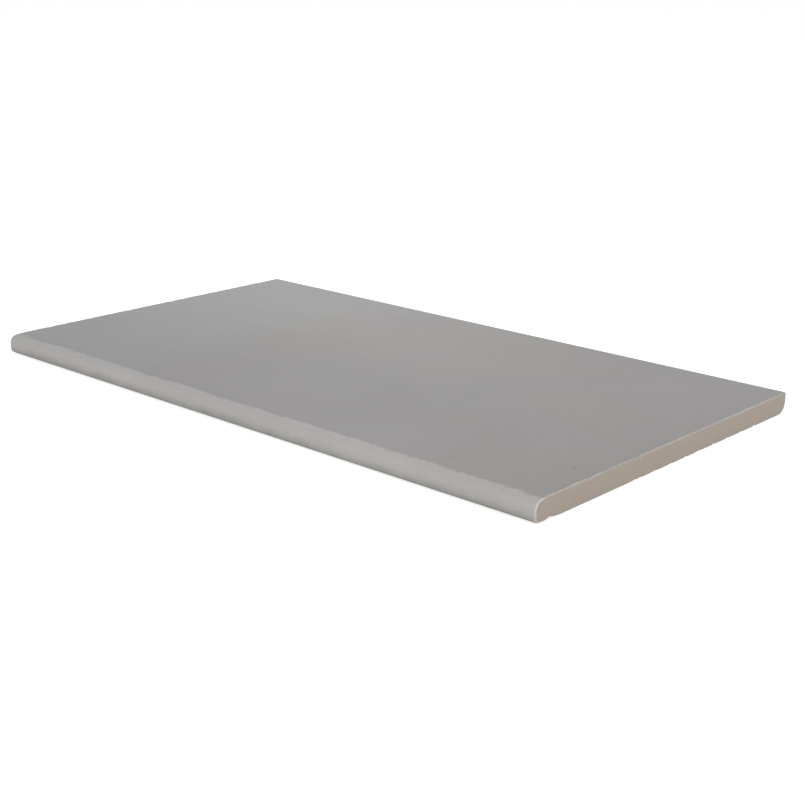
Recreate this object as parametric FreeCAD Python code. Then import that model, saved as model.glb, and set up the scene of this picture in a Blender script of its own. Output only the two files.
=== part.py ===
import FreeCAD, Part

import math
import os

# Pool coping stone: a glazed, extruded stoneware slab with a rounded nose along one long edge.
# The frame has X along the nose, -Y towards the water, Z up. The origin is the centre of the
# footprint, on the plane that the slab beds on. All sizes are in millimetres.

# Overall size
length = 600.0
width = 330.0
thickness = 17.0

# Nose, seen in section from the glazed face round to the lip underneath
crown_drop = 0.7            # fall of the glazed face before the shoulder starts
crown_angle = 7.0           # slope of the face where the shoulder takes over, in degrees
shoulder_radius = 7.0       # the rounded top corner of the nose
front_top_angle = 86.0      # slope where the shoulder meets the nearly upright front, in degrees
front_foot_angle = 100.0    # slope where the front leans back to the toe, in degrees
toe_radius = 3.0            # the rounded lower corner of the nose

# Lip and drip groove under the nose
lip_rise = 0.6              # the lip stands clear of the bed by this much
lip_width = 8.5             # flat of the lip, from the toe to the drip groove
drip_depth = 1.1            # measured up from the lip
drip_wall_run = 2.4         # horizontal run of the groove's steep front wall
drip_roof = 2.0             # width of the groove's roof
drip_back_run = 3.6         # horizontal run of the slope back down to the lip's level
drip_fillet_radius = 0.8    # softens the groove's two roof corners
lip_ramp_run = 7.0          # horizontal run from the lip's level down to the bed

# Back edge, which butts against the paving
back_arris_radius = 0.8     # eased top corner
heel_radius = 9.0           # rounded lower corner

# Shallow keying grooves for the mortar, along the whole underside behind the overhang
key_depth = 0.5
key_mouth = 5.0             # width at the bed plane
key_roof = 3.0              # width at the bottom of the groove
key_pitch = 20.0
key_first_setback = 121.0   # from the front of the nose to the middle of the first groove
key_back_setback = 42.0     # least distance from the back face to the middle of the last groove

nose_face = -width / 2
back_face = width / 2
end_face = length / 2


def arc_step(start, radius, slope_from, slope_to):
    """An arc of the nose that turns the outline from one slope to another.

    Slopes are in degrees: 0 runs level towards the water, 90 straight down, 180 level back.
    Returns the arc's middle and end points, as (y, z), for a start point and a radius.
    """

    def point_at(slope):
        first, second = math.radians(slope_from), math.radians(slope)
        return (
            start[0] - radius * (math.sin(second) - math.sin(first)),
            start[1] - radius * (math.cos(first) - math.cos(second)),
        )

    return point_at((slope_from + slope_to) / 2), point_at(slope_to)


def nose_arcs():
    """The nose's four tangent arcs as (start, middle, end) points, from the crown to the toe."""
    down = math.cos(math.radians(crown_angle))
    crown_radius = crown_drop / (1 - down)
    upper, foot = math.cos(math.radians(front_top_angle)), math.cos(math.radians(front_foot_angle))
    shoulder_fall = shoulder_radius * (down - upper)
    toe_fall = toe_radius * (foot + 1)
    front_fall = thickness - lip_rise - crown_drop - shoulder_fall - toe_fall
    front_radius = front_fall / (upper - foot)
    stations = [
        (crown_radius, 0.0, crown_angle),
        (shoulder_radius, crown_angle, front_top_angle),
        (front_radius, front_top_angle, front_foot_angle),
        (toe_radius, front_foot_angle, 180.0),
    ]
    # the outline is foremost where the front is upright, so the crown starts this far behind it
    reach = (
        crown_radius * math.sin(math.radians(crown_angle))
        + shoulder_radius * (math.sin(math.radians(front_top_angle)) - math.sin(math.radians(crown_angle)))
        + front_radius * (1 - math.sin(math.radians(front_top_angle)))
    )
    arcs, start = [], (nose_face + reach, thickness)
    for radius, slope_from, slope_to in stations:
        middle, end = arc_step(start, radius, slope_from, slope_to)
        arcs.append((start, middle, end))
        start = end
    return arcs


def drip_roof_ends(toe_end):
    """The two corners in the roof of the drip groove, from the toe's end."""
    roof_start = toe_end[0] + lip_width + drip_wall_run
    roof_level = lip_rise + drip_depth
    return (roof_start, roof_level), (roof_start + drip_roof, roof_level)


def key_middles():
    """Where the keying grooves run: as many as fit between their two setbacks."""
    first = nose_face + key_first_setback
    room = back_face - key_back_setback - first
    return [first + index * key_pitch for index in range(int(room // key_pitch) + 1)]


def underside_points(toe_end):
    """The underside's corners from the toe to the heel: lip, drip groove, bed and keying grooves."""
    roof_start, roof_end = drip_roof_ends(toe_end)
    drip_end = roof_end[0] + drip_back_run
    points = [
        (toe_end[0] + lip_width, lip_rise),
        roof_start,
        roof_end,
        (drip_end, lip_rise),
        (drip_end + lip_ramp_run, 0.0),
    ]
    for middle in key_middles():
        points += [
            (middle - key_mouth / 2, 0.0),
            (middle - key_roof / 2, key_depth),
            (middle + key_roof / 2, key_depth),
            (middle + key_mouth / 2, 0.0),
        ]
    points.append((back_face - heel_radius, 0.0))
    return points


def line(start, end):
    """A straight edge of the section between two (y, z) points, on the left end."""
    return Part.makeLine(FreeCAD.Vector(-end_face, *start), FreeCAD.Vector(-end_face, *end))


def arc(start, middle, end):
    """A round edge of the section through three (y, z) points, on the left end."""
    ends = [FreeCAD.Vector(-end_face, *point) for point in (start, middle, end)]
    return Part.Arc(*ends).toShape()


def quarter(centre, radius, from_angle):
    """A quarter round of the section, anticlockwise from an angle in degrees, as three points."""
    angles = [math.radians(from_angle + turn) for turn in (0, 45, 90)]
    return [(centre[0] + radius * math.cos(a), centre[1] + radius * math.sin(a)) for a in angles]


def section_face():
    """The slab's whole cross-section as one face."""
    arcs = nose_arcs()
    edges = [arc(*stretch) for stretch in arcs]
    corner = arcs[-1][2]
    for point in underside_points(corner):
        edges.append(line(corner, point))
        corner = point
    heel = quarter((back_face - heel_radius, heel_radius), heel_radius, -90)
    edges.append(arc(*heel))
    arris_centre = (back_face - back_arris_radius, thickness - back_arris_radius)
    arris = quarter(arris_centre, back_arris_radius, 0)
    edges.append(line(heel[2], arris[0]))
    edges.append(arc(*arris))
    edges.append(line(arris[2], arcs[0][0]))
    return Part.Face(Part.Wire(edges))


def drip_roof_edges(slab):
    """The two long edges of the slab at the corners in the roof of the drip groove."""
    toe_end = nose_arcs()[-1][2]
    found = []
    for y, z in drip_roof_ends(toe_end):
        for edge in slab.Edges:
            middle = edge.BoundBox.Center
            if abs(middle.x) < 0.01 and abs(middle.y - y) < 0.01 and abs(middle.z - z) < 0.01:
                found.append(edge)
    return found


def coping_stone():
    """The slab: its section drawn out along the nose, with the groove's roof softened."""
    slab = section_face().extrude(FreeCAD.Vector(length, 0, 0))
    slab = slab.makeFillet(drip_fillet_radius, drip_roof_edges(slab))
    return slab


def main():
    """Builds the coping stone and writes it as one STEP file."""
    os.makedirs("parts", exist_ok=True)
    stone = coping_stone()
    stone.exportStep("parts/coping_stone.step")
    box = stone.BoundBox
    print("coping_stone", stone.isValid(), round(stone.Volume / 1000, 1), "cm3")
    print("box", [round(v, 3) for v in (box.XMin, box.XMax, box.YMin, box.YMax, box.ZMin, box.ZMax)])


main()
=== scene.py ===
"""The looks of a glazed stoneware coping slab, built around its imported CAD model.

The slab lies on its bed in the row's frame: X along the nose, -Y towards the water, Z up. All sizes
are in metres. One detailed slab stands for the CAD node: its ends are sawn and chipped, its glaze
rolls over the nose, and its underside carries the drip groove and the keying grooves.
"""

from __future__ import annotations

import logging
import math
from collections.abc import Callable, Iterable
from dataclasses import dataclass, field
from enum import Enum, IntEnum

import bmesh
import bpy
from mathutils import Matrix, Vector

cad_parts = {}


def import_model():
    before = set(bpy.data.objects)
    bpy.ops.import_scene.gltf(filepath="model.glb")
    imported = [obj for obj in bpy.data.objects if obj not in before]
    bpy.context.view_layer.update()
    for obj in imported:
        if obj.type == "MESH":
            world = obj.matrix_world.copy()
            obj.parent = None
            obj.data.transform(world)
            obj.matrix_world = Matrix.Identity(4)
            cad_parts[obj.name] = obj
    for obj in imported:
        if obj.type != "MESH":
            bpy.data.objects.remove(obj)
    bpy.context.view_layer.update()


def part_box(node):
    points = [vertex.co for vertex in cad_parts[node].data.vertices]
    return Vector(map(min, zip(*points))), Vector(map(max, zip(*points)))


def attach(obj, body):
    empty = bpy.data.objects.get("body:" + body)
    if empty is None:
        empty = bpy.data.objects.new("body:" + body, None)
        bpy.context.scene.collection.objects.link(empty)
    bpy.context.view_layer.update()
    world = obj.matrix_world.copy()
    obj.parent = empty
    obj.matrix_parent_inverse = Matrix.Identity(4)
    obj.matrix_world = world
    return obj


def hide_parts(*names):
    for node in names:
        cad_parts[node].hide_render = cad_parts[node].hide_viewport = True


log = logging.getLogger("coping")

SLAB_NODE = "coping_stone"
SLAB_PIECE = "coping_slab"
BODY = "root"
MM = 0.001
SNAP = 0.02 * MM
SMOOTH_ANGLE = math.radians(32)

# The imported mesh's nose is faceted, so its box falls a little short of the slab's true half width.
HALF_WIDTH = 165 * MM

# A face whose normal has this share along an axis looks along it.
SQUARE_ON = 0.99

# With this share it may look a little aslant.
ROUGHLY_ON = 0.9

# Only the one broad face of a sawn end has more sides than this.
MOST_SIDES = 8

# The subdivide operator is asked for no more cuts than this at once.
MOST_CUTS = 99

Colour = tuple[float, float, float]

# Where a smooth change starts and where it ends, in either order.
Span = tuple[float, float]


class Coat(IntEnum):
    """The slab's finishes, in the order of its material slots."""

    GLAZE = 0
    GLAZE_EDGE = 1
    SAWN_BODY = 2
    PRESSED_BODY = 3


class Grain(Enum):
    """Which way a fired face was worked, which turns its fine marks."""

    SAWN_UPRIGHT = "sawn"
    DRAWN_LENGTHWISE = "drawn"


class SawnEnd(IntEnum):
    """The slab's two sawn ends, by the sign of their x."""

    LEFT = -1
    RIGHT = 1


class Term:
    """A socket's value in a material, which Python's operators carry on into Math nodes."""

    def __init__(self, recipe: Recipe, socket: bpy.types.NodeSocket) -> None:
        """Keeps the recipe that owns the socket, and the socket."""
        self.recipe = recipe
        self.socket = socket

    def _math(self, operation: str, first: Value, second: Value) -> Term:
        """A Math node on two values, each a number or a Term."""
        return self.recipe.node("ShaderNodeMath", {"operation": operation}, {0: first, 1: second})

    def __add__(self, other: Value) -> Term:
        """self + other."""
        return self._math("ADD", self, other)

    def __radd__(self, other: Value) -> Term:
        """other + self."""
        return self._math("ADD", other, self)

    def __sub__(self, other: Value) -> Term:
        """self - other."""
        return self._math("SUBTRACT", self, other)

    def __rsub__(self, other: Value) -> Term:
        """other - self."""
        return self._math("SUBTRACT", other, self)

    def __mul__(self, other: Value) -> Term:
        """self * other."""
        return self._math("MULTIPLY", self, other)

    def __rmul__(self, other: Value) -> Term:
        """other * self."""
        return self._math("MULTIPLY", other, self)

    def larger(self, other: Value) -> Term:
        """The larger of self and other."""
        return self._math("MAXIMUM", self, other)

    def step(self, low: float, high: float) -> Term:
        """A smooth rise from 0 where the value is low to 1 where it is high.

        Args:
            low: the value at which the rise starts.
            high: the value at which it ends, which may be below low for a fall.

        Returns:
            The eased value, clamped from 0 to 1.
        """
        return self.recipe.node(
            "ShaderNodeMapRange",
            {"interpolation_type": "SMOOTHSTEP"},
            {"Value": self, "From Min": low, "From Max": high, "To Min": 0.0, "To Max": 1.0},
        )


Value = float | Term


class Recipe:
    """A node tree while it is being filled."""

    def __init__(self, owner: bpy.types.Material | bpy.types.World) -> None:
        """Starts an empty tree.

        Args:
            owner: the material or world that the tree belongs to.
        """
        self.owner = owner
        owner.use_nodes = True
        self.tree = owner.node_tree
        self.tree.nodes.clear()

    @classmethod
    def of_material(cls, name: str) -> Recipe:
        """Starts a new material of that name."""
        return cls(bpy.data.materials.new(name))

    def node(
        self,
        kind: str,
        settings: dict[str, object] | None = None,
        sockets: dict[int | str, object] | None = None,
        output: int | str = 0,
    ) -> Term:
        """Makes any node, with its settings first and its sockets after them.

        Args:
            kind: the node's type.
            settings: its properties by name.
            sockets: a number, colour, vector or Term for each input, by name or index.
            output: the output to hand back.

        Returns:
            The chosen output as a Term.
        """
        made = self.tree.nodes.new(kind)
        for name, value in (settings or {}).items():
            setattr(made, name, value)
        for key, value in (sockets or {}).items():
            if isinstance(value, Term):
                self.tree.links.new(value.socket, made.inputs[key])
            elif isinstance(value, tuple) and made.inputs[key].type == "RGBA":
                made.inputs[key].default_value = (*value[:3], 1.0)
            else:
                made.inputs[key].default_value = value
        return Term(self, made.outputs[output] if made.outputs else None)

    def place(self, stretch: tuple[float, float, float] = (1.0, 1.0, 1.0)) -> Term:
        """Object coordinates.

        Args:
            stretch: scales them, so below 1 draws a pattern out along an axis.

        Returns:
            The coordinates as a Term.
        """
        where = self.node("ShaderNodeTexCoord", output="Object")
        if stretch == (1.0, 1.0, 1.0):
            return where
        return self.node("ShaderNodeMapping", {}, {"Vector": where, "Scale": stretch})

    def axes(self) -> tuple[Term, Term, Term]:
        """The place of the shaded point.

        Returns:
            The object's x, y and z there.
        """
        split = self.node("ShaderNodeSeparateXYZ", {}, {0: self.place()})
        outputs = split.socket.node.outputs
        return tuple(Term(self, outputs[index]) for index in range(3))

    def noise(
        self,
        size: float,
        detail: float = 2.0,
        roughness: float = 0.5,
        stretch: tuple[float, float, float] = (1.0, 1.0, 1.0),
        warp: float = 0.0,
        seed: float = 0.0,
    ) -> Term:
        """A fractal noise around 0.5.

        Args:
            size: the size of its largest patches, in metres.
            detail: how many finer octaves it has.
            roughness: how strong those are.
            stretch: scales the coordinates, so below 1 draws the patches out.
            warp: how far it is distorted.
            seed: picks another pattern of the same kind.

        Returns:
            The noise as a Term.
        """
        return self.node(
            "ShaderNodeTexNoise",
            {"noise_dimensions": "4D"},
            {
                "Vector": self.place(stretch),
                "W": seed,
                "Scale": 1.0 / size,
                "Detail": detail,
                "Roughness": roughness,
                "Distortion": warp,
            },
        )

    def cells(self, size: float, stretch: tuple[float, float, float] = (1.0, 1.0, 1.0)) -> Term:
        """The distance from the nearest of scattered points, in cell sizes.

        Args:
            size: the mean gap between the points, in metres.
            stretch: scales the coordinates, so below 1 draws the cells out.

        Returns:
            The distance, 0 at each point.
        """
        return self.node(
            "ShaderNodeTexVoronoi", {}, {"Vector": self.place(stretch), "Scale": 1.0 / size}
        )

    def mix(self, share: Value, first: object, second: object) -> Term:
        """A colour between two others, by share of the second."""
        return self.node(
            "ShaderNodeMix", {"data_type": "RGBA"}, {0: share, 6: first, 7: second}, output=2
        )

    def tinted(self, share: Value, colour: Term, tint: Colour) -> Term:
        """A colour multiplied by a tint, by share."""
        return self.node(
            "ShaderNodeMix",
            {"data_type": "RGBA", "blend_type": "MULTIPLY"},
            {0: share, 6: colour, 7: tint},
            output=2,
        )

    def scaled(self, colour: Term, tone: Term) -> Term:
        """A colour made lighter or darker by a tone around 1."""
        return self.node("ShaderNodeVectorMath", {"operation": "SCALE"}, {0: colour, "Scale": tone})

    def bump(self, height: Term, depth: float) -> Term:
        """A bumped normal for a relief of 0 to 1 that is depth metres deep."""
        return self.node("ShaderNodeBump", {}, {"Strength": 1.0, "Distance": depth, "Height": height})

    def finish(self, colour: Term, roughness: Value, normal: Term, specular: float) -> bpy.types.Material:
        """Closes the material with one shader.

        Args:
            colour: the base colour.
            roughness: how matt the surface is.
            normal: the bumped normal.
            specular: the strength of the bare surface's gloss.

        Returns:
            The finished material.
        """
        shader = self.node(
            "ShaderNodeBsdfPrincipled",
            {},
            {
                "Base Color": colour,
                "Roughness": roughness,
                "Normal": normal,
                "Specular IOR Level": specular,
            },
        )
        self.node("ShaderNodeOutputMaterial", {}, {"Surface": shader})
        return self.owner


@dataclass(frozen=True)
class Scuff:
    """A faint dark scuff: its middle, half its length and width, and its turn in degrees."""

    x: float
    y: float
    half_length: float
    half_width: float
    turn: float

    def share(self, recipe: Recipe) -> Term:
        """How far the scuff covers the glaze.

        Args:
            recipe: the material being filled.

        Returns:
            1 at the scuff's middle, easing to 0 at its rim.
        """
        place = {
            "Vector": recipe.place(),
            "Location": (self.x, self.y, 0.0),
            "Rotation": (0.0, 0.0, math.radians(self.turn)),
            "Scale": (self.half_length, self.half_width, 1.0),
        }
        within = recipe.node("ShaderNodeMapping", {"vector_type": "TEXTURE"}, place)
        away = recipe.node("ShaderNodeVectorMath", {"operation": "LENGTH"}, {0: within}, output="Value")
        return away.step(1.0, 0.3)


@dataclass(frozen=True)
class SatinGlaze:
    """The concrete-look glaze on the top and round the nose: cloudy, satin, finely pocked.

    A span gives the places on the slab between which a tone or a colour changes.
    """

    warm: Colour = (0.280, 0.271, 0.263)
    cool: Colour = (0.273, 0.263, 0.268)
    grey: Colour = (0.284, 0.284, 0.284)
    # lighter over the nose: partly the glaze breaking lighter, partly painted light for the lit front
    # face and its satin highlight
    over_nose_break_and_light: Colour = (0.393, 0.3825, 0.376)
    smudge: Colour = (0.215, 0.203, 0.188)
    # painted shade: the glaze darker towards the toe of the nose, near the floor
    toe_shade_tint: Colour = (0.735, 0.73, 0.70)
    cloud_size: float = 200 * MM
    hue_size: float = 150 * MM
    patch_size: float = 26 * MM
    grain_size: float = 1.1 * MM
    satin_size: float = 2.4 * MM
    base_tone: float = 0.993
    cloud_strength: float = 0.24
    patch_strength: float = 0.12
    grain_strength: float = 0.10
    # painted light: the top lighter towards the back and darker towards the nose edge
    back_light_lift: float = 0.08
    back_light_lift_y: Span = (-150 * MM, 150 * MM)
    end_lift: float = 0.035
    end_lift_x: Span = (200 * MM, 300 * MM)
    end_lift_y: Span = (-110 * MM, 0.0)
    grey_x: Span = (-110 * MM, -190 * MM)
    nose_band: Span = (11.0 * MM, 5.8 * MM)
    nose_wander: float = 5.0 * MM
    nose_scallops: float = 7.0 * MM
    # the painted light over the nose fades towards the left end
    nose_fade: float = 0.15
    nose_fade_x: Span = (-170 * MM, -290 * MM)
    toe_height: Span = (9.2 * MM, 1.0 * MM)
    toe_setback: Span = (30 * MM, 20 * MM)
    toe_wander: float = 9.0 * MM
    tick_share: float = 0.7
    smear_share: float = 0.42
    scuff_share: float = 0.60
    relief_depth: float = 0.03 * MM
    roughness: float = 0.62
    specular: float = 0.12
    scuffs: tuple[Scuff, ...] = (
        Scuff(206 * MM, -136 * MM, 9.2 * MM, 1.8 * MM, 93.0),
        Scuff(282 * MM, -98 * MM, 5.4 * MM, 1.8 * MM, -35.0),
        Scuff(265 * MM, -72 * MM, 3.4 * MM, 0.9 * MM, 44.0),
        Scuff(272 * MM, -84 * MM, 4.2 * MM, 1.2 * MM, 11.0),
        Scuff(293 * MM, -120 * MM, 3.0 * MM, 1.2 * MM, 65.0),
        Scuff(210 * MM, -114 * MM, 3.8 * MM, 1.1 * MM, -28.0),
        Scuff(215 * MM, -112 * MM, 2.8 * MM, 1.4 * MM, 87.0),
        Scuff(224 * MM, -105 * MM, 2.6 * MM, 1.0 * MM, 50.0),
        Scuff(-137 * MM, -29 * MM, 5.2 * MM, 1.9 * MM, 103.0),
        Scuff(-118 * MM, -139 * MM, 3.4 * MM, 2.0 * MM, 80.0),
    )

    def make(self) -> bpy.types.Material:
        """Mixes the glaze.

        Returns:
            Its material.
        """
        recipe = Recipe.of_material("satin_glaze")
        x, y, _ = recipe.axes()
        clouds = recipe.noise(self.cloud_size, 3.0, 0.55, warp=0.6, seed=45.0)
        patches = recipe.noise(self.patch_size, 4.0, 0.6, warp=0.4, seed=3.0)
        grain = recipe.noise(self.grain_size, 2.0, 0.6, seed=7.0)
        hue = recipe.noise(self.hue_size, 4.0, 0.5, seed=214.0)
        tone = self.base_tone + (clouds - 0.5) * self.cloud_strength
        tone = tone + (patches - 0.5) * self.patch_strength + (grain - 0.5) * self.grain_strength
        # painted light: lighter towards the back
        tone = tone + y.step(*self.back_light_lift_y) * self.back_light_lift
        tone = tone + x.step(*self.end_lift_x) * y.step(*self.end_lift_y) * self.end_lift
        colour = recipe.mix(hue.step(0.36, 0.64), self.warm, self.cool)
        colour = recipe.mix(x.step(*self.grey_x), colour, self.grey)
        # the nose band: glaze break together with a painted highlight over the lit front face
        colour = recipe.mix(self._break_and_light_over_nose(recipe), colour, self.over_nose_break_and_light)
        colour = recipe.scaled(colour, tone)
        # painted shade at the toe of the nose
        colour = recipe.tinted(self._shade_at_toe(recipe), colour, self.toe_shade_tint)
        ticks = self._ticks(recipe)
        colour = recipe.mix(ticks * self.tick_share, colour, self.smudge)
        colour = recipe.mix(self._smears(recipe) * self.smear_share, colour, self.smudge)
        colour = recipe.mix(self._scuffed(recipe) * self.scuff_share, colour, self.smudge)
        satin = recipe.noise(self.satin_size, 2.0, 0.5, seed=5.0)
        relief = satin * 0.75 + grain * 0.25 - ticks * 0.8
        roughness = self.roughness + (patches - 0.5) * 0.10 + (grain - 0.5) * 0.06
        return recipe.finish(colour, roughness, recipe.bump(relief, self.relief_depth), self.specular)

    def _break_and_light_over_nose(self, recipe: Recipe) -> Term:
        """Where the glaze breaks lighter over the rounded nose, with painted light: the brightness of the
        lit front face and its painted satin highlight.

        Args:
            recipe: the material being filled.

        Returns:
            1 over the nose, with a softly wandering edge.
        """
        x, y, _ = recipe.axes()
        wander = (recipe.noise(30 * MM, 1.0, 0.5, seed=31.0) - 0.5) * self.nose_wander
        scallops = (recipe.noise(4.5 * MM, 1.0, 0.5, seed=33.0) - 0.5) * self.nose_scallops
        strength = 1.0 - x.step(*self.nose_fade_x) * self.nose_fade
        return (y + HALF_WIDTH + wander + scallops).step(*self.nose_band) * strength

    def _shade_at_toe(self, recipe: Recipe) -> Term:
        """Where painted shade darkens the glaze towards the toe of the nose, near the floor.

        Args:
            recipe: the material being filled.

        Returns:
            1 at the toe of the nose.
        """
        _, y, z = recipe.axes()
        on_nose = (y + HALF_WIDTH).step(*self.toe_setback)
        wander = (recipe.noise(22 * MM, 2.0, 0.5, seed=37.0) - 0.5) * self.toe_wander
        return (z + wander).step(*self.toe_height) * on_nose

    def _scuffed(self, recipe: Recipe) -> Term:
        """Where any scuff lies.

        Args:
            recipe: the material being filled.

        Returns:
            1 in the scuffs, finely broken.
        """
        share = self.scuffs[0].share(recipe)
        for scuff in self.scuffs[1:]:
            share = share.larger(scuff.share(recipe))
        return share * recipe.noise(2.2 * MM, 2.0, 0.6, seed=43.0).step(0.30, 0.60)

    @staticmethod
    def _smears(recipe: Recipe) -> Term:
        """A few faint short smears.

        Args:
            recipe: the material being filled.

        Returns:
            1 in the smears, which are drawn out along the slab.
        """
        strokes = recipe.cells(28 * MM, (0.30, 1.0, 1.0)).step(0.075, 0.02)
        broken = recipe.noise(3 * MM, 2.0, 0.6, seed=41.0).step(0.40, 0.54)
        return strokes * broken

    @staticmethod
    def _ticks(recipe: Recipe) -> Term:
        """Sparse short dark ticks and pinholes.

        Args:
            recipe: the material being filled.

        Returns:
            1 in them, only in a few regions of the glaze.
        """
        pins = recipe.cells(9 * MM, (0.6, 1.4, 1.0)).step(0.095, 0.04)
        regions = recipe.noise(70 * MM, 1.0, 0.5, seed=21.0).step(0.52, 0.62)
        return pins * regions


@dataclass(frozen=True)
class GlazeEdge:
    """The thin line where the saw went through the glaze: greyish along the face, pale round the nose."""

    along_face: Colour = (0.412, 0.379, 0.356)
    round_nose: Colour = (0.53, 0.505, 0.48)
    stained: Colour = (0.345, 0.315, 0.285)
    # painted shade: the sawn glaze line darker towards the toe of the nose, near the floor
    toe_shade_tint: Colour = (0.90, 0.86, 0.82)
    nose_setback: Span = (12.5 * MM, 8.5 * MM)
    toe_height: Span = (10 * MM, 2 * MM)
    fleck_size: float = 3.0 * MM
    grit_size: float = 0.35 * MM
    drift_size: float = 45 * MM
    grit_strength: float = 0.16
    drift_strength: float = 0.30
    relief_depth: float = 0.06 * MM
    roughness: float = 0.6
    specular: float = 0.25

    def make(self) -> bpy.types.Material:
        """Mixes the sawn glaze.

        Returns:
            Its material.
        """
        recipe = Recipe.of_material("sawn_glaze_edge")
        _, y, z = recipe.axes()
        flecks = recipe.noise(self.fleck_size, 3.0, 0.6, seed=2.0)
        grit = recipe.noise(self.grit_size, 1.0, 0.5, seed=9.0)
        nose = (y + HALF_WIDTH).step(*self.nose_setback)
        colour = recipe.mix(nose, self.along_face, self.round_nose)
        colour = recipe.mix(flecks.step(0.46, 0.62) * (1.0 - nose * 0.7), colour, self.stained)
        # painted shade towards the toe
        colour = recipe.tinted(z.step(*self.toe_height), colour, self.toe_shade_tint)
        drift = (recipe.noise(self.drift_size, 1.0, 0.5, seed=11.0) - 0.5) * (1.0 - nose)
        tone = 1.0 + (grit - 0.5) * self.grit_strength + drift * self.drift_strength
        colour = recipe.scaled(colour, tone)
        normal = recipe.bump(flecks + grit, self.relief_depth)
        return recipe.finish(colour, self.roughness, normal, self.specular)


@dataclass(frozen=True)
class FiredBody:
    """The bare tan stoneware: matt, faintly blotched and speckled with grog."""

    name: str = "sawn_body"
    grain: Grain = Grain.SAWN_UPRIGHT
    tan: Colour = (0.3425, 0.3032, 0.2522)
    pink: Colour = (0.3525, 0.2963, 0.264)
    grog: Colour = (0.47, 0.43, 0.38)
    iron: Colour = (0.22, 0.17, 0.14)
    blotch_size: float = 38 * MM
    grit_size: float = 0.5 * MM
    pale_grog_gap: float = 2.6 * MM
    dark_grog_gap: float = 4.7 * MM
    mark_strength: float = 0.10
    grit_strength: float = 0.14
    pale_share: float = 0.45
    dark_share: float = 0.5
    roughness: float = 0.82
    specular: float = 0.35

    def make(self) -> bpy.types.Material:
        """Mixes the bare body.

        Returns:
            Its material.
        """
        recipe = Recipe.of_material(self.name)
        sawn = self.grain is Grain.SAWN_UPRIGHT
        stretch = (1.0, 1.0, 0.06) if sawn else (0.03, 1.0, 1.0)
        mark_size, depth = (1.4 * MM, 0.06 * MM) if sawn else (2.2 * MM, 0.12 * MM)
        blotches = recipe.noise(self.blotch_size, 3.0, 0.6, warp=0.5, seed=59.0)
        marks = recipe.noise(mark_size, 3.0, 0.55, stretch=stretch, seed=4.0)
        grit = recipe.noise(self.grit_size, 2.0, 0.6, seed=6.0)
        tone = 1.0 + (marks - 0.5) * self.mark_strength + (grit - 0.5) * self.grit_strength
        colour = recipe.scaled(recipe.mix(blotches.step(0.34, 0.66), self.tan, self.pink), tone)
        pale_grog = recipe.cells(self.pale_grog_gap).step(0.16, 0.08)
        dark_grog = recipe.cells(self.dark_grog_gap, (1.0, 1.0, 1.3)).step(0.10, 0.05)
        colour = recipe.mix(pale_grog * self.pale_share, colour, self.grog)
        colour = recipe.mix(dark_grog * self.dark_share, colour, self.iron)
        relief = marks * 0.6 + grit * 0.4 - dark_grog * 0.5
        return recipe.finish(colour, self.roughness, recipe.bump(relief, depth), self.specular)


@dataclass(frozen=True)
class Chip:
    """One chip out of a sawn end's upper or lower edge. Its depth is a share of the deepest chip's."""

    end: SawnEnd
    y: float
    reach: float
    depth: float
    lower: bool = False

    def bite(self, x: float, y: float) -> float:
        """How deep the chip is at one place of the arris, from 0 to 1."""
        away = abs(y - self.y) / self.reach
        return self.depth * (1.0 - away * away) if x * self.end > 0.0 and away < 1.0 else 0.0


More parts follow.
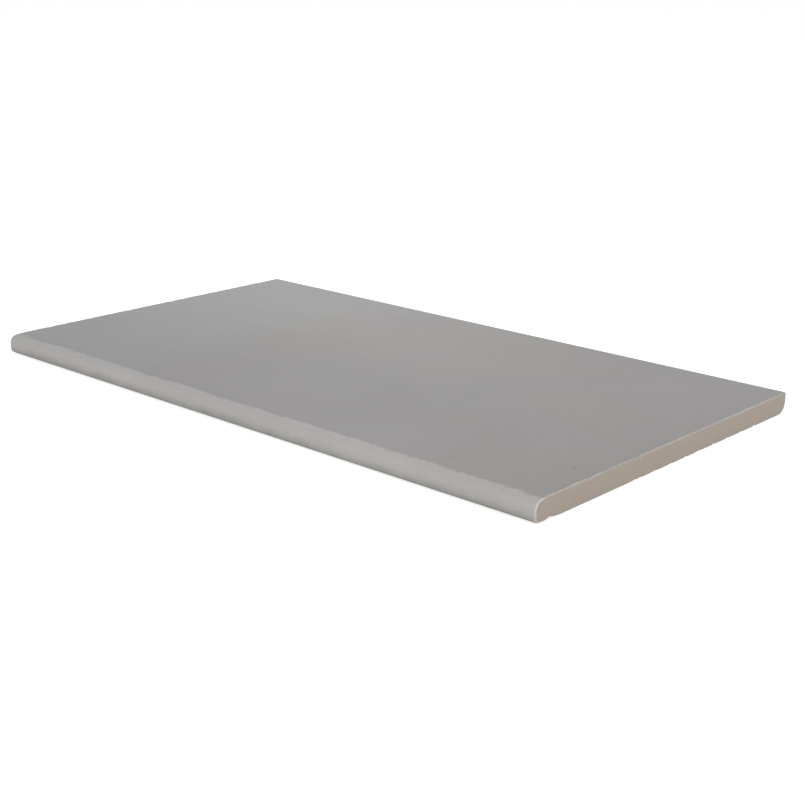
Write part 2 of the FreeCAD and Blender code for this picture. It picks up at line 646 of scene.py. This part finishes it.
class Bench:
    """Holds one mesh in edit mode and picks its parts by place, for the operators to work on."""

    def __init__(self, obj: bpy.types.Object) -> None:
        """Goes into edit mode with nothing selected.

        Args:
            obj: the object whose mesh is worked on.
        """
        self.obj = obj
        bpy.ops.object.select_all(action="DESELECT")
        obj.select_set(True)
        bpy.context.view_layer.objects.active = obj
        bpy.ops.object.mode_set(mode="EDIT")
        bpy.ops.mesh.select_all(action="DESELECT")

    def leave(self) -> None:
        """Goes back to object mode."""
        bpy.ops.object.mode_set(mode="OBJECT")

    def _pick(self, mode: str, parts: str, test: Callable[[object], bool]) -> int:
        """Selects exactly the parts of the mesh that pass a test.

        Args:
            mode: the select mode's name.
            parts: edges or faces.
            test: whether a part is wanted.

        Returns:
            How many passed.
        """
        bpy.ops.mesh.select_all(action="DESELECT")
        bpy.ops.mesh.select_mode(type=mode)
        mesh = bmesh.from_edit_mesh(self.obj.data)
        chosen = [part for part in getattr(mesh, parts) if test(part)]
        for part in chosen:
            part.select_set(True)
        bmesh.update_edit_mesh(self.obj.data)
        return len(chosen)

    def pick_faces(self, test: Callable[[bmesh.types.BMFace], bool]) -> int:
        """Selects the faces that pass a test."""
        return self._pick("FACE", "faces", test)

    def pick_edges(self, test: Callable[[bmesh.types.BMEdge], bool]) -> int:
        """Selects the edges that pass a test."""
        return self._pick("EDGE", "edges", test)

    def pick_line(self, y: float, z: float) -> int:
        """Selects the edges that run along the slab at one place of its section.

        Args:
            y: the place across the slab.
            z: its height.

        Returns:
            How many there are, at least 1.
        """
        count = self.pick_edges(
            lambda edge: all(abs(v.co.y - y) < SNAP and abs(v.co.z - z) < SNAP for v in edge.verts)
        )
        if not count:
            raise ValueError(f"no edge runs along the slab at y={y:.5f}, z={z:.5f}")
        return count

    def move_line(self, start: tuple[float, float], end: tuple[float, float]) -> None:
        """Moves the edge along the slab at one place of its section to another place."""
        self.pick_line(*start)
        bpy.ops.transform.translate(value=(0.0, end[0] - start[0], end[1] - start[1]))

    def cut(self, test: Callable[[bmesh.types.BMFace], bool], y: float) -> None:
        """Cuts the faces that pass a test by the upright plane at y."""
        self.pick_faces(test)
        bpy.ops.mesh.bisect(plane_co=(0.0, y, 0.0), plane_no=(0.0, 1.0, 0.0))

    def round_line(self, place: tuple[float, float], setback: float, segments: int) -> None:
        """Bevels the edge along the slab at one place, by its tangent length on both sides."""
        self.pick_line(*place)
        bpy.ops.mesh.bevel(
            offset=setback,
            offset_type="OFFSET",
            segments=segments,
            profile=0.5,
            affect="EDGES",
            clamp_overlap=False,
        )


@dataclass(frozen=True)
class Corner:
    """A corner of the nose before it is rounded: its place, its tangent length and its facets."""

    y: float
    z: float
    setback: float
    segments: int


@dataclass
class CopingSlab:
    """The whole slab as one mesh, shaped from a block as a maker would shape it.

    The sizes up to the keying grooves' are the section's own. Those after them say how finely it is
    divided, how its sawn ends are worn, and how its glaze ripples.
    """

    low: Vector
    high: Vector
    crown_drop: float = 0.7 * MM
    crown_angle: float = 7.0
    shoulder_radius: float = 7.0 * MM
    front_top_angle: float = 86.0
    front_foot_angle: float = 100.0
    toe_radius: float = 3.0 * MM
    lip_rise: float = 0.6 * MM
    lip_width: float = 8.5 * MM
    drip_depth: float = 1.1 * MM
    drip_wall_run: float = 2.4 * MM
    drip_roof: float = 2.0 * MM
    drip_back_run: float = 3.6 * MM
    drip_fillet_radius: float = 0.8 * MM
    lip_ramp_run: float = 7.0 * MM
    back_arris_radius: float = 0.8 * MM
    heel_radius: float = 9.0 * MM
    key_depth: float = 0.5 * MM
    key_mouth: float = 5.0 * MM
    key_roof: float = 3.0 * MM
    key_pitch: float = 20.0 * MM
    key_first_setback: float = 121.0 * MM
    key_back_setback: float = 42.0 * MM
    nose_segments: tuple[int, int, int, int] = (10, 12, 7, 7)
    heel_segments: int = 12
    arris_segments: int = 4
    drip_segments: int = 3
    column_width: float = 1.0 * MM
    row_count: int = 60
    sawn_arris: float = 0.35 * MM
    glaze_layer: float = 0.75 * MM
    lower_arris_share: float = 0.25
    lower_arris_height: float = 4.0 * MM
    nose_share: float = 0.4
    nose_depth: float = 11.0 * MM
    edge_height: float = 1.5 * MM
    back_fade: float = 4.0 * MM
    serration_size: float = 2.0 * MM
    serration_depth: float = 0.75 * MM
    bite_size: float = 9.0 * MM
    bite_depth: float = 0.50 * MM
    layer_waver: float = 0.7 * MM
    ripple_size: float = 34.0 * MM
    ripple_depth: float = 0.16 * MM
    ripple_foot: float = 3.0 * MM
    ripple_rise: float = 6.0 * MM
    ripple_back_fade: float = 8.0 * MM
    face_serration: float = 0.10 * MM
    face_bite: float = 0.20 * MM
    chip_depth: float = 1.2 * MM
    upper_chip_fall: float = 0.5
    lower_chip_rise: float = 0.6
    chips: tuple[Chip, ...] = (
        Chip(SawnEnd.RIGHT, -105.5 * MM, 3.6 * MM, 0.75),
        Chip(SawnEnd.RIGHT, -102.5 * MM, 2.2 * MM, 0.52),
        Chip(SawnEnd.RIGHT, -48.0 * MM, 4.6 * MM, 1.00),
        Chip(SawnEnd.RIGHT, 36.0 * MM, 2.0 * MM, 0.45),
        Chip(SawnEnd.RIGHT, 118.0 * MM, 2.4 * MM, 0.38),
        Chip(SawnEnd.RIGHT, 164.5 * MM, 4.0 * MM, 0.50),
        Chip(SawnEnd.RIGHT, -50.0 * MM, 3.2 * MM, 0.75, lower=True),
        Chip(SawnEnd.RIGHT, 31.5 * MM, 3.0 * MM, 0.68, lower=True),
        Chip(SawnEnd.RIGHT, -28.0 * MM, 1.8 * MM, 0.38, lower=True),
        Chip(SawnEnd.LEFT, -164.5 * MM, 4.0 * MM, 0.60, lower=True),
        Chip(SawnEnd.LEFT, 54.0 * MM, 3.0 * MM, 0.68, lower=True),
        Chip(SawnEnd.LEFT, -84.0 * MM, 2.2 * MM, 0.45, lower=True),
        Chip(SawnEnd.LEFT, -120.0 * MM, 2.6 * MM, 0.52),
        Chip(SawnEnd.LEFT, -31.0 * MM, 3.4 * MM, 0.75),
        Chip(SawnEnd.LEFT, 22.0 * MM, 2.0 * MM, 0.45),
        Chip(SawnEnd.LEFT, 96.0 * MM, 2.8 * MM, 0.60),
    )
    corners: list[Corner] = field(init=False)
    toe_end: float = field(init=False)

    def __post_init__(self) -> None:
        """Works out the nose from the sizes."""
        self.corners, self.toe_end = self._nose_outline()

    def build(self) -> bpy.types.Object:
        """Shapes the slab, step by step.

        Returns:
            The finished object, at the origin with its place in its mesh.
        """
        bpy.ops.object.select_all(action="DESELECT")
        size = self.high - self.low
        bpy.ops.mesh.primitive_cube_add(size=1.0, location=(self.low + self.high) / 2, scale=size)
        slab = bpy.context.object
        slab.name = slab.data.name = SLAB_PIECE
        bpy.ops.object.transform_apply(location=True, rotation=True, scale=True)
        bench = Bench(slab)
        self._set_out_lip(bench)
        self._round_nose(bench)
        self._round_back(bench)
        self._cut_drip_groove(bench)
        self._cut_key_grooves(bench)
        self._grade_columns(bench)
        self._grade_rows(bench)
        self._ease_ends(bench)
        bench.leave()
        self._chip_ends(slab)
        self._ripple_glaze(slab)
        return slab

    def _nose_outline(self) -> tuple[list[Corner], float]:
        """The nose's outline before rounding.

        Returns:
            The corners of the crown, shoulder, front and toe, each with the tangent length of its arc,
            and the y at which the toe's arc ends.
        """
        angles = [0.0, self.crown_angle, self.front_top_angle, self.front_foot_angle, 180.0]
        turn = [math.radians(angle) for angle in angles]
        crown_radius = self.crown_drop / (1 - math.cos(turn[1]))
        height = self.high.z - self.low.z
        fixed_falls = (
            self.lip_rise
            + self.crown_drop
            + self.shoulder_radius * (math.cos(turn[1]) - math.cos(turn[2]))
            + self.toe_radius * (math.cos(turn[3]) + 1)
        )
        front_radius = (height - fixed_falls) / (math.cos(turn[2]) - math.cos(turn[3]))
        radii = [crown_radius, self.shoulder_radius, front_radius, self.toe_radius]
        reach = (
            crown_radius * math.sin(turn[1])
            + self.shoulder_radius * (math.sin(turn[2]) - math.sin(turn[1]))
            + front_radius * (1 - math.sin(turn[2]))
        )
        y, z, corners = self.low.y + reach, self.high.z, []
        for radius, first, second, segments in zip(radii, turn, turn[1:], self.nose_segments):
            setback = radius * math.tan((second - first) / 2)
            y, z = y - setback * math.cos(first), z - setback * math.sin(first)
            corners.append(Corner(y, z, setback, segments))
            y, z = y - setback * math.cos(second), z - setback * math.sin(second)
        return corners, y

    def _set_out_lip(self, bench: Bench) -> None:
        """Cuts the block to the nose's straight outline, with the lip level and clear of the bed.

        Args:
            bench: the slab's mesh at work.
        """
        crown, shoulder, front, toe = self.corners
        low, high = self.low, self.high
        lip = low.z + self.lip_rise
        roof_start = self.toe_end + self.lip_width + self.drip_wall_run
        drip_end = roof_start + self.drip_roof + self.drip_back_run
        for y in (drip_end, drip_end + self.lip_ramp_run):
            bench.cut(lambda face: face.normal.z < -ROUGHLY_ON, y)
        bench.move_line((drip_end, low.z), (drip_end, lip))
        bench.cut(lambda face: face.normal.z > ROUGHLY_ON, crown.y)
        bench.move_line((low.y, low.z), (toe.y, toe.z))
        bench.move_line((low.y, high.z), (shoulder.y, shoulder.z))
        bench.pick_faces(lambda face: face.normal.y < -ROUGHLY_ON)
        bpy.ops.mesh.bisect(plane_co=(0.0, 0.0, front.z), plane_no=(0.0, 0.0, 1.0))
        slant = (front.z - toe.z) / (shoulder.z - toe.z)
        on_face = toe.y + (shoulder.y - toe.y) * slant
        bench.move_line((on_face, front.z), (front.y, front.z))

    def _round_nose(self, bench: Bench) -> None:
        """Rounds the nose's four corners into its tangent arcs.

        Args:
            bench: the slab's mesh at work.
        """
        for corner in self.corners:
            bench.round_line((corner.y, corner.z), corner.setback, corner.segments)
        bpy.ops.mesh.select_all(action="SELECT")
        bpy.ops.mesh.remove_doubles(threshold=SNAP)

    def _round_back(self, bench: Bench) -> None:
        """Rounds the heel below and the arris above on the back edge."""
        bench.round_line((self.high.y, self.low.z), self.heel_radius, self.heel_segments)
        bench.round_line((self.high.y, self.high.z), self.back_arris_radius, self.arris_segments)

    @staticmethod
    def _looks_down_at(level: float) -> Callable[[bmesh.types.BMFace], bool]:
        """A test for the flat faces of the underside at one height.

        Args:
            level: the height.

        Returns:
            The test, which takes a face.
        """

        def test(face: bmesh.types.BMFace) -> bool:
            """Whether a face looks down and lies at that height."""
            return face.normal.z < -SQUARE_ON and abs(face.calc_center_median().z - level) < SNAP

        return test

    def _cut_drip_groove(self, bench: Bench) -> None:
        """Raises the drip groove's roof between its two slopes in the lip.

        Args:
            bench: the slab's mesh at work.
        """
        lip = self.low.z + self.lip_rise
        roof = lip + self.drip_depth
        lip_end = self.toe_end + self.lip_width
        roof_start = lip_end + self.drip_wall_run
        roof_end = roof_start + self.drip_roof
        for y in (lip_end, roof_start, roof_end):
            bench.cut(self._looks_down_at(lip), y)
        for y in (roof_start, roof_end):
            bench.move_line((y, lip), (y, roof))
        walls = ((roof_start, self.drip_wall_run), (roof_end, self.drip_back_run))
        for y, run in walls:
            setback = self.drip_fillet_radius * math.tan(math.atan2(self.drip_depth, run) / 2)
            bench.round_line((y, roof), setback, self.drip_segments)

    def _cut_key_grooves(self, bench: Bench) -> None:
        """Raises the shallow keying grooves along the bed.

        Args:
            bench: the slab's mesh at work.
        """
        bed = self.low.z
        middle = self.low.y + self.key_first_setback
        on_bed = self._looks_down_at(bed)
        while middle <= self.high.y - self.key_back_setback:
            for half in (self.key_mouth / 2, self.key_roof / 2):
                bench.cut(on_bed, middle - half)
                bench.cut(on_bed, middle + half)
            for side in (-1, 1):
                y = middle + side * self.key_roof / 2
                bench.move_line((y, bed), (y, bed + self.key_depth))
            middle += self.key_pitch

    def _grade_columns(self, bench: Bench) -> None:
        """Divides the wide faces across the slab into columns of about one width.

        Args:
            bench: the slab's mesh at work.
        """

        def cuts(edge: bmesh.types.BMEdge) -> int:
            """How often an edge is cut.

            Args:
                edge: the edge.

            Returns:
                A number by its length, or 0 for an edge that runs along the slab.
            """
            on_end = abs(abs(edge.verts[0].co.x) - self.high.x) < SNAP
            across = abs(edge.verts[0].co.x - edge.verts[1].co.x) < SNAP
            if not (on_end and across):
                return 0
            rounding = 0.01
            return math.ceil(edge.calc_length() / self.column_width - rounding) - 1

        self._divide(bench, cuts)

    def _grade_rows(self, bench: Bench) -> None:
        """Divides the slab along its length."""
        nearly_full = (self.high.x - self.low.x) * 0.99
        self._divide(bench, lambda edge: self.row_count - 1 if edge.calc_length() > nearly_full else 0)

    @staticmethod
    def _divide(bench: Bench, cuts: Callable[[bmesh.types.BMEdge], int]) -> None:
        """Subdivides each edge by its own number of cuts, in two stages where there are many.

        Args:
            bench: the mesh at work.
            cuts: the number of cuts for an edge, 0 for none.
        """
        mesh = bmesh.from_edit_mesh(bench.obj.data)
        wanted = sorted({cuts(edge) for edge in mesh.edges} - {0}, reverse=True)
        for count in wanted:
            bench.pick_edges(lambda edge: cuts(edge) == count)
            if count <= MOST_CUTS:
                bpy.ops.mesh.subdivide(number_cuts=count)
                continue
            tenths = 10
            rest = math.ceil((count + 1) / tenths) - 1
            bpy.ops.mesh.subdivide(number_cuts=tenths - 1)
            bench.pick_edges(lambda edge: cuts(edge) in (rest - 1, rest, rest + 1))
            bpy.ops.mesh.subdivide(number_cuts=rest)

    def _ease_ends(self, bench: Bench) -> None:
        """Takes the sharpness off both sawn ends, and marks the glaze layer's depth on them.

        Args:
            bench: the slab's mesh at work.
        """
        reach = self.high.x
        bench.pick_faces(lambda face: abs(face.normal.x) > SQUARE_ON)
        bpy.ops.mesh.dissolve_faces()
        bench.pick_edges(lambda edge: all(abs(abs(v.co.x) - reach) < SNAP for v in edge.verts))
        bpy.ops.mesh.bevel(
            offset=self.sawn_arris, offset_type="OFFSET", segments=2, affect="EDGES", clamp_overlap=False
        )
        middle = (self.low + self.high) / 2
        half = (self.high - self.low) / 2
        taken = self.sawn_arris + self.glaze_layer
        shrink = [(size - taken) / (size - self.sawn_arris) for size in (half.y, half.z)]
        bench.pick_faces(self._is_cap)
        bpy.ops.mesh.inset(thickness=0.0)
        bpy.ops.transform.resize(value=(1.0, *shrink), center_override=middle)
        bpy.ops.mesh.mark_sharp()

    @staticmethod
    def _is_cap(face: bmesh.types.BMFace) -> bool:
        """Whether a face is the one broad face of a sawn end."""
        return abs(face.normal.x) > SQUARE_ON and len(face.verts) > MOST_SIDES

    def _group_vertices(self, slab: bpy.types.Object) -> None:
        """Groups the vertices that the chips and the ripple move.

        The groups are the outer and middle loops of each sawn arris, its loop on the sawn face, the
        line where the glaze layer ends there, and the glazed faces, which fade out at the underside.

        Args:
            slab: the slab.
        """
        names = ["left", "right", "face", "layer", "glaze"]
        names += ["chip_left", "chip_right", "chip_upper", "chip_lower"]
        weights: dict[str, dict[int, float]] = {name: {} for name in names}
        facing = [face for face in slab.data.polygons if abs(face.normal.x) > SQUARE_ON]
        caps = [face for face in facing if len(face.vertices) > MOST_SIDES]
        inner = {index for face in caps for index in face.vertices}
        past_arris = self.sawn_arris * 1.5
        for vertex in slab.data.vertices:
            x, y, z = vertex.co
            setback = self.high.x - abs(x)
            side = "right" if x > 0 else "left"
            if setback > past_arris:
                up = min(1.0, max(0.0, (z - self.low.z - self.ripple_foot) / self.ripple_rise))
                weights["glaze"][vertex.index] = up * min(1.0, (self.high.y - y) / self.ripple_back_fade)
                continue
            outer = min(1.0, setback / self.sawn_arris)
            # towards the back corners the moves along the end fade out, so that no face folds over
            from_back = min(1.0, (self.high.y - y) / self.back_fade)
            if vertex.index in inner:
                weights["layer"][vertex.index] = from_back
            else:
                strength = 1.0 if z > self.low.z + self.lower_arris_height else self.lower_arris_share
                if y < self.low.y + self.nose_depth:
                    strength = min(strength, self.nose_share)
                weights[side][vertex.index] = outer * strength
                weights["face"][vertex.index] = (1.0 - outer) * strength
            edges = {
                "upper": z > self.high.z - self.edge_height,
                "lower": z < self.low.z + self.edge_height,
            }
            for edge in (name for name, near in edges.items() if near):
                bites = [chip.bite(x, y) for chip in self.chips if chip.lower == (edge == "lower")]
                weights["chip_" + side][vertex.index] = max(bites) * outer
                weights["chip_" + edge][vertex.index] = max(bites) * (1.0 - outer) * from_back
        for name, shares in weights.items():
            group = slab.vertex_groups.new(name=name)
            for index, share in shares.items():
                if share > 0.0:
                    group.add([index], share, "REPLACE")

    @staticmethod
    def _displace(
        slab: bpy.types.Object,
        texture: bpy.types.Texture | None,
        group: str,
        direction: str,
        depth: float,
        middle: float,
    ) -> None:
        """Moves one group of vertices by a texture, and applies it.

        Args:
            slab: the slab.
            texture: the procedural texture that gives the heights, or none for a height of 1.
            group: the vertex group to move.
            direction: X, Y, Z or NORMAL.
            depth: how far a height of 1 moves a vertex, in metres.
            middle: the height that moves nothing.
        """
        modifier = slab.modifiers.new("relief", "DISPLACE")
        modifier.texture, modifier.texture_coords = texture, "LOCAL"
        modifier.vertex_group, modifier.direction = group, direction
        modifier.strength, modifier.mid_level = depth, middle
        bpy.ops.object.modifier_apply(modifier=modifier.name)

    @staticmethod
    def _clouds(
        name: str, size: float, octaves: int, contrast: float = 1.0, level: float = 1.0
    ) -> bpy.types.Texture:
        """A procedural clouds texture.

        Args:
            name: the texture's name.
            size: the size of its patches, in metres.
            octaves: how many finer octaves it has.
            contrast: how hard the patches' rims are.
            level: how bright it is as a whole.

        Returns:
            The texture.
        """
        clouds = bpy.data.textures.new(name, "CLOUDS")
        clouds.noise_scale, clouds.noise_depth = size, octaves
        clouds.contrast, clouds.intensity = contrast, level
        clouds.use_clamp = True
        return clouds

    def _chip_ends(self, slab: bpy.types.Object) -> None:
        """Chips both sawn arrises: a fine serration, and a few larger bites.

        Args:
            slab: the slab.
        """
        self._group_vertices(slab)
        serration = self._clouds("serration", self.serration_size, 2, contrast=2.4)
        bites = self._clouds("bites", self.bite_size, 1, contrast=5.0, level=0.42)
        for side, inwards in (("left", 1.0), ("right", -1.0)):
            self._displace(slab, serration, side, "X", inwards * self.serration_depth, 0.0)
            self._displace(slab, bites, side, "X", inwards * self.bite_depth, 0.0)
            self._displace(slab, None, "chip_" + side, "X", inwards * self.chip_depth, 0.0)
        self._displace(slab, None, "chip_upper", "Z", -self.upper_chip_fall * self.chip_depth, 0.0)
        self._displace(slab, None, "chip_lower", "Z", self.lower_chip_rise * self.chip_depth, 0.0)
        self._displace(slab, serration, "face", "NORMAL", -self.face_serration, 0.0)
        self._displace(slab, bites, "face", "NORMAL", -self.face_bite, 0.0)
        for direction in "YZ":
            self._displace(slab, serration, "layer", direction, self.layer_waver, 0.5)

    def _ripple_glaze(self, slab: bpy.types.Object) -> None:
        """Gives the glaze the faint ripple of a fired face."""
        ripple = self._clouds("ripple", self.ripple_size, 1)
        self._displace(slab, ripple, "glaze", "NORMAL", self.ripple_depth, 0.5)


@dataclass(frozen=True)
class Lamp:
    """A soft square lamp that faces the slab."""

    name: str
    place: tuple[float, float, float]
    size: float
    power: float

    def build(self) -> None:
        """Makes the lamp and turns it to the slab's middle."""
        light = bpy.data.lights.new(self.name, "AREA")
        light.shape, light.size, light.energy = "SQUARE", self.size, self.power
        holder = bpy.data.objects.new(self.name, light)
        holder.location = self.place
        holder.rotation_euler = (-Vector(self.place)).to_track_quat("-Z", "Y").to_euler()
        bpy.context.scene.collection.objects.link(holder)


@dataclass(frozen=True)
class Studio:
    """The pale floor, the plain world and the soft lamps."""

    world_light: float = 0.53
    floor_paint: float = 0.7
    floor_glow: float = 0.625
    floor_size: float = 80.0
    floor_gap: float = 0.2 * MM
    lamps: tuple[Lamp, ...] = (
        Lamp("key_lamp", (0.2, -2.25, 0.85), 1.1, 25.5),
        Lamp("fill_lamp", (2.1, 0.1, 0.7), 1.4, 20.0),
        Lamp("back_lamp", (-1.0, 1.05, 0.85), 0.8, 8.0),
    )

    def build(self) -> None:
        """Makes the floor, the world and the lamps."""
        self._floor()
        self._world()
        for lamp in self.lamps:
            lamp.build()

    @staticmethod
    def _seen(recipe: Recipe) -> Term:
        """Which rays see a surface as it looks, and not as it lights.

        Args:
            recipe: the material or world being filled.

        Returns:
            1 for a camera, glossy or transmission ray.
        """
        path = recipe.node("ShaderNodeLightPath").socket.node.outputs
        camera, glossy, through = (
            Term(recipe, path[name]) for name in ("Is Camera Ray", "Is Glossy Ray", "Is Transmission Ray")
        )
        return camera.larger(glossy.larger(through))

    def _floor(self) -> None:
        """A wide plain floor under the slab, seen as white, which keeps the slab's shadow."""
        bpy.ops.object.select_all(action="DESELECT")
        bpy.ops.mesh.primitive_plane_add(size=self.floor_size, location=(0.0, 0.0, -self.floor_gap))
        floor = bpy.context.object
        floor.name = "floor"
        recipe = Recipe.of_material("pale_floor")
        paint = recipe.node("ShaderNodeBsdfDiffuse", {}, {"Color": (self.floor_paint,) * 3})
        glow = recipe.node("ShaderNodeEmission", {}, {"Strength": self._seen(recipe) * self.floor_glow})
        both = recipe.node("ShaderNodeAddShader", {}, {0: paint, 1: glow})
        recipe.node("ShaderNodeOutputMaterial", {}, {"Surface": both})
        floor.data.materials.append(recipe.owner)

    def _world(self) -> None:
        """A plain world: white where it is seen, and softer where it lights the slab."""
        bpy.context.scene.world = bpy.data.worlds.new("plain_world")
        recipe = Recipe(bpy.context.scene.world)
        strength = self.world_light + self._seen(recipe) * (1.0 - self.world_light)
        sky = recipe.node("ShaderNodeBackground", {}, {"Color": (1.0, 1.0, 1.0), "Strength": strength})
        recipe.node("ShaderNodeOutputWorld", {}, {"Surface": sky})


@dataclass(frozen=True)
class PhotoCamera:
    """The camera at the photograph's place, which the slab's own outline fixed."""

    place: tuple[float, float, float] = (0.81174, -0.85461, 0.35102)
    azimuth: float = 42.317
    elevation: float = 17.449
    roll: float = 0.442
    focal_pixels: float = 1430.0
    image_pixels: float = 805.0
    sensor: float = 36.0

    def build(self) -> None:
        """Makes the camera and gives it to the scene."""
        around, above, tilt = (math.radians(a) for a in (self.azimuth, self.elevation, self.roll))
        back = Vector(
            (math.sin(around) * math.cos(above), -math.cos(around) * math.cos(above), math.sin(above))
        )
        level = (-back).cross(Vector((0.0, 0.0, 1.0))).normalized()
        upright = level.cross(-back)
        right = level * math.cos(tilt) + upright * math.sin(tilt)
        up = upright * math.cos(tilt) - level * math.sin(tilt)
        data = bpy.data.cameras.new("photo_camera")
        data.sensor_width = self.sensor
        data.lens = self.focal_pixels / self.image_pixels * self.sensor
        data.clip_start, data.clip_end = 0.05, 50.0
        camera = bpy.data.objects.new("photo_camera", data)
        turned = Matrix((right, up, back)).transposed().to_4x4()
        camera.matrix_world = Matrix.Translation(self.place) @ turned
        bpy.context.scene.collection.objects.link(camera)
        bpy.context.scene.camera = camera


@dataclass(frozen=True)
class GlazeReach:
    """How far the glaze goes round the slab, and where its cut edge shows on the sawn ends.

    A lean is the share of a face's normal along an axis, past which the face counts as looking that way.
    """

    lip_share: float = 0.45
    end_arrises: float = 2.5
    end_lean: float = 0.12
    cut_height: float = 1.4 * MM
    back_arrises: float = 1.5
    back_height: float = 1.0 * MM
    upward_lean: float = 0.1

    def coat_of(self, face: bpy.types.MeshPolygon, maker: CopingSlab) -> Coat:
        """Which finish one face of the slab wears.

        Args:
            face: the face.
            maker: the sizes that the slab was built to.

        Returns:
            The finish, by where the face lies and the way it looks.
        """
        centre, normal, top = face.center, face.normal, maker.high.z
        before_lip = centre.y < maker.toe_end + maker.lip_width * self.lip_share
        at_end = abs(centre.x) > maker.high.x - self.end_arrises * maker.sawn_arris
        if at_end and abs(normal.x) > self.end_lean:
            through_glaze = centre.z > top - self.cut_height or before_lip
            narrow = len(face.vertices) < MOST_SIDES
            return Coat.GLAZE_EDGE if through_glaze and narrow else Coat.SAWN_BODY
        at_back = centre.y > maker.high.y - self.back_arrises * maker.back_arris_radius
        over_back = at_back and centre.z > top - self.back_height
        glazed = normal.z > self.upward_lean or before_lip or over_back
        return Coat.GLAZE if glazed else Coat.PRESSED_BODY


def dress(slab: bpy.types.Object, maker: CopingSlab) -> None:
    """Gives the slab its finishes, face by face.

    Args:
        slab: the finished slab.
        maker: the sizes that it was built to.
    """
    finishes = {
        Coat.GLAZE: SatinGlaze().make(),
        Coat.GLAZE_EDGE: GlazeEdge().make(),
        Coat.SAWN_BODY: FiredBody().make(),
        Coat.PRESSED_BODY: FiredBody(name="drawn_body", grain=Grain.DRAWN_LENGTHWISE).make(),
    }
    for coat in Coat:
        slab.data.materials.append(finishes[coat])
    reach = GlazeReach()
    for face in slab.data.polygons:
        face.material_index = reach.coat_of(face, maker)


def main() -> None:
    """Loads the frame, builds and dresses the slab, and sets the studio and the camera."""
    logging.basicConfig(level=logging.INFO, format="%(name)s: %(message)s")
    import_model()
    low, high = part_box(SLAB_NODE)
    low.z, high.z = round(low.z, 6), round(high.z, 6)
    maker = CopingSlab(Vector((low.x, -HALF_WIDTH, low.z)), Vector((high.x, HALF_WIDTH, high.z)))
    slab = maker.build()
    dress(slab, maker)
    bpy.ops.object.select_all(action="DESELECT")
    slab.select_set(True)
    bpy.context.view_layer.objects.active = slab
    bpy.ops.object.shade_smooth_by_angle(angle=SMOOTH_ANGLE)
    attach(slab, BODY)
    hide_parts(SLAB_NODE)
    log.info("%s: %d faces", slab.name, len(slab.data.polygons))
    Studio().build()
    PhotoCamera().build()
    bpy.context.scene.view_settings.view_transform = "Standard"


if __name__ == "__main__":
    main()
